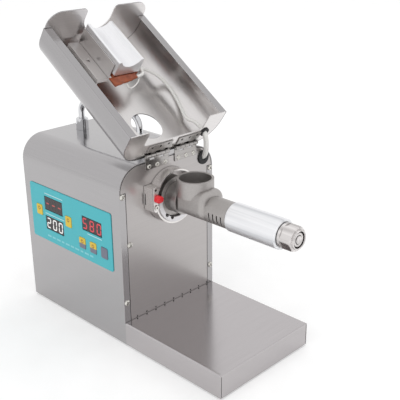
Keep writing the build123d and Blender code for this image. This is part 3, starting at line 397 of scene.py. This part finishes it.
# A point in the trough, which the cover's inner faces look towards
cover_middle = in_cover(90, 0, -30)
cover_outside = ("#AAA8A9", "#A4A2A3")
# The inner faces are painted paler than the outside: painted light falling into the trough
cover_inside = ("#E0DDDC", "#D9D6D5")
# The near plate's outer face is painted paler than the shell's outside: painted light on the same sheet
near_plate_outside = ("#E4E1E0", "#DCD9D8")
sheet_cover = cover_stainless(
    "satin_stainless_cover", lay_along, cover_outside, cover_inside, cover_middle
)
sheet_cover_end = cover_stainless(
    "satin_stainless_cover_end", lay_across, cover_outside, cover_inside, cover_middle
)
sheet_cover_near = cover_stainless(
    "satin_stainless_cover_near", lay_across, near_plate_outside, cover_inside, cover_middle
)
sheet_bracket = satin_stainless(
    "mill_stainless_bracket", lay_along, "#D6D3D2", "#D1CECD", (0.28, 0.29), turn=cover_turn
)
# Paler than the cabinet's sheet: painted sheen in place of the shroud's bright reflections
sheet_shroud = satin_stainless(
    "pressed_stainless", lay_across, "#ECE9E7", "#DEDAD8", (0.26, 0.32), painted_shade=3.0
)
chrome = bright_chrome()
zinc = zinc_plating()
cast = cast_stainless()
steel = polished_steel()
black_rubber = rubber()
black_plastic = even_skin("moulded_black_plastic", "#1B1B1D", "#262628")
film = amber_film()
glass_braid = glass_sleeve()

dress(sheet_side, "cabinet_wrapper", "bottom_plate")
dress(sheet_tray, "base_tray")
dress(sheet_front, "front_plate", "rear_plate")
dress(sheet_shroud, "chamber_shroud", "lock_lever")
dress(sheet_cover, "cover_shell")
dress(sheet_bracket, "heater_bracket")
dress(sheet_cover_end, "cover_far_plate")
dress(sheet_cover_near, "cover_near_plate")
dress(hinge_steel(), "hinge_fixed_leaves", "hinge_moving_leaves")
dress(chrome, "carry_handle", "handle_ferrules")
dress(zinc, "hinge_pins", "handle_nuts", "lever_pivot_pin", "board_standoffs")
dress(cast, "press_chamber", "press_barrel", "barrel_socket")
# The heat sleeve's colour carries painted reflection bands
dress(satin_aluminium("drawn_aluminium", painted_reflection_bands, "#FAFAFC", "#D2D3D6"), "heat_sleeve")
dress(satin_aluminium("cast_aluminium", lay_across, "#E2E0E2", "#D6D4D6"), "half_ring")
saddle = satin_aluminium("extruded_aluminium", lay_along, "#F6F6F8", "#EEEEF0", turn=cover_turn)
dress(saddle, "heater_saddle")
dress(steel, "outlet_bush", "press_screw", "drive_shaft", "motor_shaft", "shaft_bearing")
dress(overlay_film(), "control_overlay")
dress(display_filter(), "upper_display", "lower_display", "speed_display")
dress(even_skin("slate_key_plastic", "#747889", "#6B6F80"), "run_key")
dress(black_rubber, "rubber_feet", "front_grommet", "cover_grommet")
dress(black_plastic, "power_inlet", "motor_fan", "tact_switches")
dress(even_skin("red_cap_plastic", "#EE2A34", "#E0242E", rough=(0.18, 0.28)), "lever_cap")
dress(board_laminate(), "control_board")
dress(even_skin("as_cast_gear_case", "#9A9A9C", "#8A8A8D", rough=(0.45, 0.6)), "gear_housing")
dress(even_skin("black_enamel", "#1C1C1E", "#222225", rough=(0.25, 0.4)), "motor")

# Drop from a key's middle to its slate part, which on the unsplit keys would start below the key
key_splits = {
    "temperature_down_key": 9,
    "temperature_up_key": 9,
    "speed_down_key": 0.5,
    "speed_up_key": 0.5,
}


def dress_keys():
    """Give the four yellow keys their faces, with the marks on the outer side."""
    for key, split in key_splits.items():
        low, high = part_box(key)
        middle = (low + high) / 2
        dress(key_film("satin_" + key, Vector((middle.x, low.y, middle.z)), split), key)


dress_keys()


# Seven-segment digits

digit_height = 14.2
digit_width = 8.2
segment_width = 1.7
segment_gap = 0.12
digit_slant = 0.06
segment_rise = 0.06
temperature_pitch = 12.4
speed_pitch = 13.4

# Ends of each bar on a grid one digit wide and two half digits high
segment_bars = {
    "a": ((0, 2), (1, 2)),
    "b": ((1, 2), (1, 1)),
    "c": ((1, 1), (1, 0)),
    "d": ((0, 0), (1, 0)),
    "e": ((0, 1), (0, 0)),
    "f": ((0, 2), (0, 1)),
    "g": ((0, 1), (1, 1)),
}
digit_bars = {"-": "g", "0": "abcdef", "2": "abdeg", "5": "acdfg", "8": "abcdefg"}


def segment_outline(start, end):
    """Six-sided bar between two grid points, in millimetres about the digit's middle."""
    run_width = digit_width - segment_width
    run_height = (digit_height - segment_width) / 2
    tip = Vector(((start[0] - 0.5) * run_width, (start[1] - 1) * run_height))
    tail = Vector(((end[0] - 0.5) * run_width, (end[1] - 1) * run_height))
    along = (tail - tip).normalized()
    aside = Vector((-along.y, along.x)) * segment_width / 2
    tip = tip + along * segment_gap
    tail = tail - along * segment_gap
    shoulder = along * segment_width / 2
    return [
        tip,
        tip + shoulder + aside,
        tail - shoulder + aside,
        tail,
        tail - shoulder - aside,
        tip + shoulder - aside,
    ]


def digits(name, text, pitch, look, lit):
    """Bars of a display's number that are lit, or those that are not."""
    low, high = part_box(name)
    middle = (low + high) / 2
    made = bmesh.new()
    for i, mark in enumerate(text):
        shift = (i - (len(text) - 1) / 2) * pitch
        for bar, (start, end) in segment_bars.items():
            if (bar in digit_bars[mark]) != lit:
                continue
            corners = []
            for point in segment_outline(start, end):
                across = middle.x + mm(shift + point.x + point.y * digit_slant)
                corners.append(made.verts.new((across, mm(display_face), middle.z + mm(point.y))))
            face = made.faces.new(corners)
            raised = bmesh.ops.extrude_face_region(made, geom=[face])["geom"]
            top = [v for v in raised if isinstance(v, bmesh.types.BMVert)]
            bmesh.ops.translate(made, verts=top, vec=(0, -mm(segment_rise), 0))
    bmesh.ops.recalc_face_normals(made, faces=made.faces)
    place_mesh(name + ("_lit" if lit else "_unlit"), made, look, "cabinet")


# Pale printed rules in place of the overlay's captions: middle and length along the panel, height
caption_rules = [(-128.0, 38.0, 158.3), (-128.0, 40.0, 131.3), (-48.5, 27.0, 128.4)]
foot_rule_start = -143.0
foot_rule_pitch = 9.6
foot_rule_lengths = (7.8, 6.6, 8.2, 5.2)
foot_rule_count = 10
foot_rule_level = 100.6
caption_height = 1.2
foot_rule_height = 2.4
ink_thickness = 0.08


def captions(name, rules, height, ink):
    """Plain printed rules, flat on the overlay."""
    made = bmesh.new()
    for middle, length, level in rules:
        bar = bmesh.ops.create_cube(made, size=1)["verts"]
        bmesh.ops.scale(made, verts=bar, vec=mm(length, ink_thickness, height))
        bmesh.ops.translate(made, verts=bar, vec=mm(middle, panel_face, level))
    place_mesh(name, made, ink, "cabinet")


foot_rules = []
for rule in range(foot_rule_count):
    rule_length = foot_rule_lengths[rule % len(foot_rule_lengths)]
    foot_rules.append((foot_rule_start + foot_rule_pitch * rule, rule_length, foot_rule_level))
pale_ink = even_skin("pale_printing_ink", "#C4E8EC", "#B4E0E5", rough=(0.4, 0.5))
faint_ink = even_skin("faint_printing_ink", "#8FD6DD", "#80CED7", rough=(0.4, 0.5))
captions("display_captions", caption_rules, caption_height, pale_ink)
captions("foot_caption", foot_rules, foot_rule_height, faint_ink)

red_glow = lit_segment("red_segment", "#D2303E", "#E04A54")
dim_glow = lit_segment("dim_red_segment", "#A83C44", "#C0584A")
white_glow = lit_segment("white_segment", "#F0F2EE", "#FAFAFA")
dark_bar = even_skin("unlit_segment", "#33292D", "#3A2F33", rough=(0.3, 0.4))
for display, number, digit_pitch, lit_bar in (
    ("upper_display", "---", temperature_pitch, dim_glow),
    ("lower_display", "200", temperature_pitch, white_glow),
    ("speed_display", "580", speed_pitch, red_glow),
):
    digits(display, number, digit_pitch, lit_bar, True)
    digits(display, number, digit_pitch, dark_bar, False)


# Pan-head screws with a cross recess

head_rings = 9
head_steps = 40
head_dome = 4
# The cross recess in shares of the head's radius and height, and its turn
recess_length = 0.62
recess_width = 0.2
recess_depth = 0.45
recess_turn = radians(35)


def screw_head(made, foot, axis, radius, height):
    """Domed head on its foot point, sunk where the two slots of the cross are."""
    upright = axis.to_track_quat("Z", "Y")
    turn = upright @ Quaternion((0, 0, 1), recess_turn)
    rows = []
    for i in range(1, head_rings + 1):
        share = i / head_rings
        row = []
        for j in range(head_steps):
            angle = 2 * pi * j / head_steps
            u = share * cos(angle)
            v = share * sin(angle)
            rise = (1 - share**head_dome) ** 0.5
            slot = min(abs(u), abs(v)) < recess_width / 2 and max(abs(u), abs(v)) < recess_length
            level = rise - recess_depth if slot else rise
            row.append(made.verts.new(foot + turn @ Vector((u * radius, v * radius, level * height))))
        rows.append(row)
    top = made.verts.new(foot + turn @ Vector((0, 0, (1 - recess_depth) * height)))
    for j in range(head_steps):
        k = (j + 1) % head_steps
        made.faces.new((top, rows[0][j], rows[0][k]))
        for inner, outer in zip(rows, rows[1:]):
            made.faces.new((inner[j], outer[j], outer[k], inner[k]))
    made.faces.new(list(reversed(rows[-1])))


def screws(name, spots, axis, head, body):
    """Heads of one group of screws in place of the plain ones."""
    radius, height = head
    made = bmesh.new()
    for spot in spots:
        screw_head(made, spot, axis, mm(radius), mm(height))
    bmesh.ops.recalc_face_normals(made, faces=made.faces)
    heads = place_mesh(name + "_heads", made, zinc, body)
    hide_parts(name)


corner_y = 70.5
corner_levels = (56.5, 190.0)
middle_y = 62.6
middle_level = 128.7
leaf_y = (-30.0, -17.5, -5.0, 16.0, 28.5, 41.0)
leaf_drop = 12.4
leaf_thickness = 1.2
plate_rear = -190.0
# Radius and height of the heads on the plates and on the hinge leaves
plate_head = (3.8, 2.0)
leaf_head = (2.8, 1.0)

corner_spots = [(y, z) for y in (-corner_y, corner_y) for z in corner_levels]
front_spots = corner_spots + [(y, middle_level) for y in (-middle_y, middle_y)]
to_front = Vector((1, 0, 0))
into_cover = (in_cover(1, 0, 0) - in_cover(0, 0, 0)).normalized()
leaf_spots = [mm(leaf_thickness, y, hinge_z - leaf_drop) for y in leaf_y]
cover_leaf_spots = [in_cover(cover_near + leaf_thickness, y, -leaf_drop) for y in leaf_y]
screws("front_screws", [mm(0, y, z) for y, z in front_spots], to_front, plate_head, "cabinet")
screws("rear_screws", [mm(plate_rear, y, z) for y, z in corner_spots], -to_front, plate_head, "cabinet")
screws("hinge_screws", leaf_spots, to_front, leaf_head, "cabinet")
screws("cover_hinge_screws", cover_leaf_spots, into_cover, leaf_head, "cover")


# End nut: a turned collar with six flats and a stepped mouth

barrel_level = 175.6
# Distance across two flats, and their number
nut_flats = 25.6
nut_flat_count = 6
nut_steps = 120
# Points nearer than this are one point
nut_weld = 0.001
# Around the nut's section: place along the barrel, radius, and whether the flats are cut there
nut_profile = [
    (174.1, 13.5, False),
    (174.6, 14.0, False),
    (178.0, 14.0, False),
    (178.0, 14.0, True),
    (189.0, 14.0, True),
    (190.4, 13.6, True),
    (191.2, 12.9, False),
    (191.5, 11.9, False),
    (191.5, 11.0, False),
    (191.8, 10.7, False),
    (193.4, 10.7, False),
    (193.8, 10.4, False),
    (194.0, 9.9, False),
    (193.7, 9.3, False),
    (193.2, 9.0, False),
    (188.2, 9.0, False),
    (188.2, 11.2, False),
    (174.1, 11.2, False),
]


def turned_nut():
    """Nut turned from its section, with one flat on top and the others round it."""
    made = bmesh.new()
    spread = 2 * pi / nut_flat_count
    rows = []
    for place, radius, flat in nut_profile:
        row = []
        for i in range(nut_steps):
            angle = 2 * pi * i / nut_steps
            from_flat = (angle + spread / 2) % spread - spread / 2
            reach = min(radius, nut_flats / 2 / cos(from_flat)) if flat else radius
            row.append(made.verts.new(mm(place, reach * sin(angle), barrel_level + reach * cos(angle))))
        rows.append(row)
    for row, following in zip(rows, rows[1:] + rows[:1]):
        for j in range(nut_steps):
            k = (j + 1) % nut_steps
            made.faces.new((row[j], following[j], following[k], row[k]))
    bmesh.ops.remove_doubles(made, verts=made.verts, dist=mm(nut_weld))
    bmesh.ops.recalc_face_normals(made, faces=made.faces)
    nut = place_mesh("turned_end_nut", made, steel, "cabinet")
    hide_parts("end_nut")


turned_nut()


# Heater terminal: a film-wrapped packet on the heating plate, in the cover's own directions

terminal_left = -25.0
terminal_right = 13.0
terminal_back = 104.0
terminal_front_left = 89.0
terminal_front_right = 95.0
film_top = -19.8
film_bottom = -24.8
plate_start = 102.8
plate_end = 170.8
plate_half = 18.0
wrap_rows = 26
wrap_steps = 32
# Depth of the film's creases and size of its lumps
wrap_crease = 0.5
wrap_lumps = 4.5
# Powers below 1 that make the tube's section boxy, from front to back and upwards
wrap_box_across = 0.45
wrap_box_up = 0.6
# Left part of the tube that is pinched, and how thick it still is at its end
pinch_share = 0.2
pinch_left = 0.45
mouth_depth = 3.0


def wrapped_terminal():
    """Flat heating plate with a creased tube of film at its near end, pinched on the left side."""
    made = bmesh.new()
    middle = (film_top + film_bottom) / 2
    half = (film_top - film_bottom) / 2 - wrap_crease
    rows = []
    for i in range(wrap_rows + 1):
        share = i / wrap_rows
        y = terminal_left + share * (terminal_right - terminal_left)
        front = terminal_front_left + share * (terminal_front_right - terminal_front_left)
        reach = (terminal_back - front) / 2 - wrap_crease
        puff = pinch_left + (1 - pinch_left) * min(1, share / pinch_share)
        row = []
        for j in range(wrap_steps):
            angle = 2 * pi * j / wrap_steps
            across_wrap = abs(cos(angle)) ** wrap_box_across * (1 if cos(angle) > 0 else -1)
            up_wrap = abs(sin(angle)) ** wrap_box_up * (1 if sin(angle) > 0 else -1)
            dent = wrap_crease * crinkle(Vector((front / wrap_lumps, y / wrap_lumps, angle)))
            inwards = terminal_back - wrap_crease - reach + (reach + dent) * across_wrap
            level = middle + (half * puff + dent) * up_wrap
            row.append(made.verts.new(in_cover(inwards, y, level)))
        rows.append(row)
    for row, following in zip(rows, rows[1:]):
        for j in range(wrap_steps):
            k = (j + 1) % wrap_steps
            made.faces.new((row[j], row[k], following[k], following[j]))
    made.faces.new(rows[0])
    mouth = [made.verts.new(v.co + mm(0, -mouth_depth, 0)) for v in rows[-1]]
    for j in range(wrap_steps):
        k = (j + 1) % wrap_steps
        made.faces.new((rows[-1][j], rows[-1][k], mouth[k], mouth[j]))
    made.faces.new(mouth)
    bmesh.ops.recalc_face_normals(made, faces=made.faces)
    for face in made.faces:
        face.smooth = True
    plate = bmesh.ops.create_cube(made, size=1)["verts"]
    size = mm(plate_end - plate_start, 2 * plate_half, film_top - film_bottom)
    bmesh.ops.scale(made, verts=plate, vec=size)
    opened = Quaternion((0, -1, 0), open_angle).to_matrix()
    bmesh.ops.rotate(made, verts=plate, cent=(0, 0, 0), matrix=opened)
    bmesh.ops.translate(made, verts=plate, vec=in_cover((plate_start + plate_end) / 2, 0, middle))
    wrap = place_mesh("wrapped_heater", made, film, "cover")
    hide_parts("heater_element")


wrapped_terminal()


# Leads: the sleeved loop across the hinge, and the thinner run inside the cover

grommet_y = 58.8
grommet_level = 206.5
cover_grommet_y = 53.0
cover_grommet_drop = 13.5
lead_radius = 3.25
inner_lead_radius = 2.0
wire_radius = 0.9
# Length behind a grommet's sheet, and how far the loop stands straight out in front of it
lead_tail = 4.0
lead_reach = 5.0


def nurbs_lead(name, route, radius):
    """Smooth round lead along a route's points."""
    curve = bpy.data.curves.new(name, "CURVE")
    curve.dimensions = "3D"
    curve.bevel_depth = mm(radius)
    curve.bevel_resolution = 6
    curve.resolution_u = 24
    curve.use_fill_caps = True
    spline = curve.splines.new("NURBS")
    spline.points.add(len(route) - 1)
    for point, place in zip(spline.points, route):
        point.co = (*place, 1)
    spline.order_u = 3
    spline.use_endpoint_u = True
    curve.materials.append(glass_braid)
    lead = bpy.data.objects.new(name, curve)
    bpy.context.collection.objects.link(lead)
    return lead


lead_end = in_cover(cover_near + lead_tail, cover_grommet_y, -cover_grommet_drop)
loop_route = [
    mm(-lead_tail, grommet_y, grommet_level),
    mm(lead_reach, grommet_y, grommet_level),
    in_cover(cover_near - lead_reach, cover_grommet_y, -cover_grommet_drop),
    lead_end,
]
loop_curve = nurbs_lead("hinge_loop_curve", loop_route, lead_radius)
loop_mesh = bpy.data.meshes.new_from_object(
    loop_curve.evaluated_get(bpy.context.evaluated_depsgraph_get())
)
bpy.data.objects.remove(loop_curve)
hinge_loop = bpy.data.objects.new("hinge_loop_lead", loop_mesh)
bpy.context.collection.objects.link(hinge_loop)
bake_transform(hinge_loop)
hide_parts("heater_lead")

# Points inside the closed cover, from its grommet to the heater's end
inner_lead_points = [
    (22.0, 53.0, 215.5),
    (34.0, 50.0, 223.0),
    (55.0, 58.0, 223.0),
    (83.0, 62.5, 221.0),
    (102.0, 55.8, 217.0),
    (111.4, 43.0, 213.0),
    (113.5, 29.0, 209.0),
    (100.0, 26.0, 206.7),
    (100.0, 13.1, 206.7),
]
inner_route = [in_cover(x - hinge_x, y, z - hinge_z) for x, y, z in inner_lead_points]
inner_lead = nurbs_lead("cover_inner_lead", [lead_end, *inner_route], inner_lead_radius)
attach(inner_lead, "cover")
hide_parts("cover_lead")

# Thin sleeved wire that loops out of the terminal's open end, in the cover's own directions
wire_points = [
    (99.0, 11.5, -22.3),
    (101.0, 16.5, -21.0),
    (97.5, 18.4, -20.0),
    (90.5, 11.0, -18.0),
    (87.3, 1.2, -16.0),
    (86.7, -5.4, -17.5),
    (90.5, -6.4, -21.5),
]
terminal_wire = nurbs_lead("terminal_wire", [in_cover(*point) for point in wire_points], wire_radius)
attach(terminal_wire, "cover")


# Studio: pale floor, white surroundings, soft lamps and the photograph's camera

# Light that the floor adds for the rays that show it, and the room's level as a source of light
floor_lift = 0.3
room_level = 0.85
# Half the floor's width, in metres
floor_half = 20
softbox_power = 6
# Camera fitted to the photograph
camera_azimuth = radians(44.568)
camera_elevation = radians(21.574)
camera_roll = radians(-0.428)
camera_place = (604.39, -560.47, 492.17)
camera_lens = 67.07
sensor_width = 36


def sees_white(tree):
    """1 for rays that show the surroundings: to the camera, in metal and through glass."""
    rays = node(tree, "LightPath").outputs
    seen = {0: rays["Is Camera Ray"], 1: rays["Is Glossy Ray"]}
    shown = node(tree, "Math", seen, operation="MAXIMUM")
    return node(tree, "Math", {0: shown, 1: rays["Is Transmission Ray"]}, operation="MAXIMUM")


def studio_floor():
    """Wide pale floor that stays white to the eye and keeps the object's soft shadow."""
    made, tree = new_tree("floor_paper")
    fibre = grain(tree, (40, 40, 40))
    tones = {mix_share: fibre, mix_first: srgb("#E6E6E6"), mix_second: srgb("#EBEBEB")}
    paper = node(tree, "Mix", tones, data_type="RGBA").outputs[mixed]
    matte = node(tree, "BsdfDiffuse", {"Color": paper})
    lift = node(tree, "Math", {0: sees_white(tree), 1: floor_lift}, operation="MULTIPLY")
    both = node(tree, "AddShader", {0: matte, 1: node(tree, "Emission", {"Strength": lift})})
    node(tree, "OutputMaterial", {"Surface": both})
    grid = bmesh.new()
    bmesh.ops.create_grid(grid, x_segments=4, y_segments=4, size=floor_half)
    mesh = bpy.data.meshes.new("floor")
    grid.to_mesh(mesh)
    grid.free()
    mesh.materials.append(made)
    floor = bpy.data.objects.new("floor", mesh)
    bpy.context.collection.objects.link(floor)


def studio_world():
    """White surroundings, a little dimmer as a source of light than to the eye."""
    world = bpy.data.worlds.new("studio")
    bpy.context.scene.world = world
    world.use_nodes = True
    tree = world.node_tree
    tree.nodes.clear()
    level = node(tree, "MapRange", {"Value": sees_white(tree), "To Min": room_level, "To Max": 1.0})
    white = node(tree, "Background", {"Color": (1, 1, 1, 1), "Strength": level})
    node(tree, "OutputWorld", {"Surface": white})


def soft_lamp(name, place, target, size):
    """Square softbox in metres that faces a target; metal mirrors the white room and not the lamp."""
    data = bpy.data.lights.new(name, "AREA")
    data.size = size
    data.energy = softbox_power
    lamp = bpy.data.objects.new(name, data)
    lamp.location = place
    lamp.rotation_euler = (Vector(target) - Vector(place)).to_track_quat("-Z", "Y").to_euler()
    lamp.visible_glossy = False
    bpy.context.collection.objects.link(lamp)


def photo_camera():
    """Camera at the photograph's viewing angle."""
    level = cos(camera_elevation)
    back = Vector((sin(camera_azimuth) * level, -cos(camera_azimuth) * level, sin(camera_elevation)))
    data = bpy.data.cameras.new("camera")
    data.lens = camera_lens
    data.sensor_width = sensor_width
    camera = bpy.data.objects.new("camera", data)
    camera.location = mm(*camera_place)
    camera.rotation_mode = "QUATERNION"
    camera.rotation_quaternion = (-back).to_track_quat("-Z", "Y") @ Quaternion((0, 0, 1), camera_roll)
    bpy.context.collection.objects.link(camera)
    bpy.context.scene.camera = camera


studio_floor()
studio_world()
soft_lamp("key_softbox", place=(0.23, 1.58, 2.08), target=(0, 0, 0.25), size=2.0)
soft_lamp("fill_softbox", place=(0.5, -1.8, 1.2), target=(0, 0, 0.2), size=1.5)
photo_camera()
bpy.context.scene.view_settings.view_transform = "Standard"
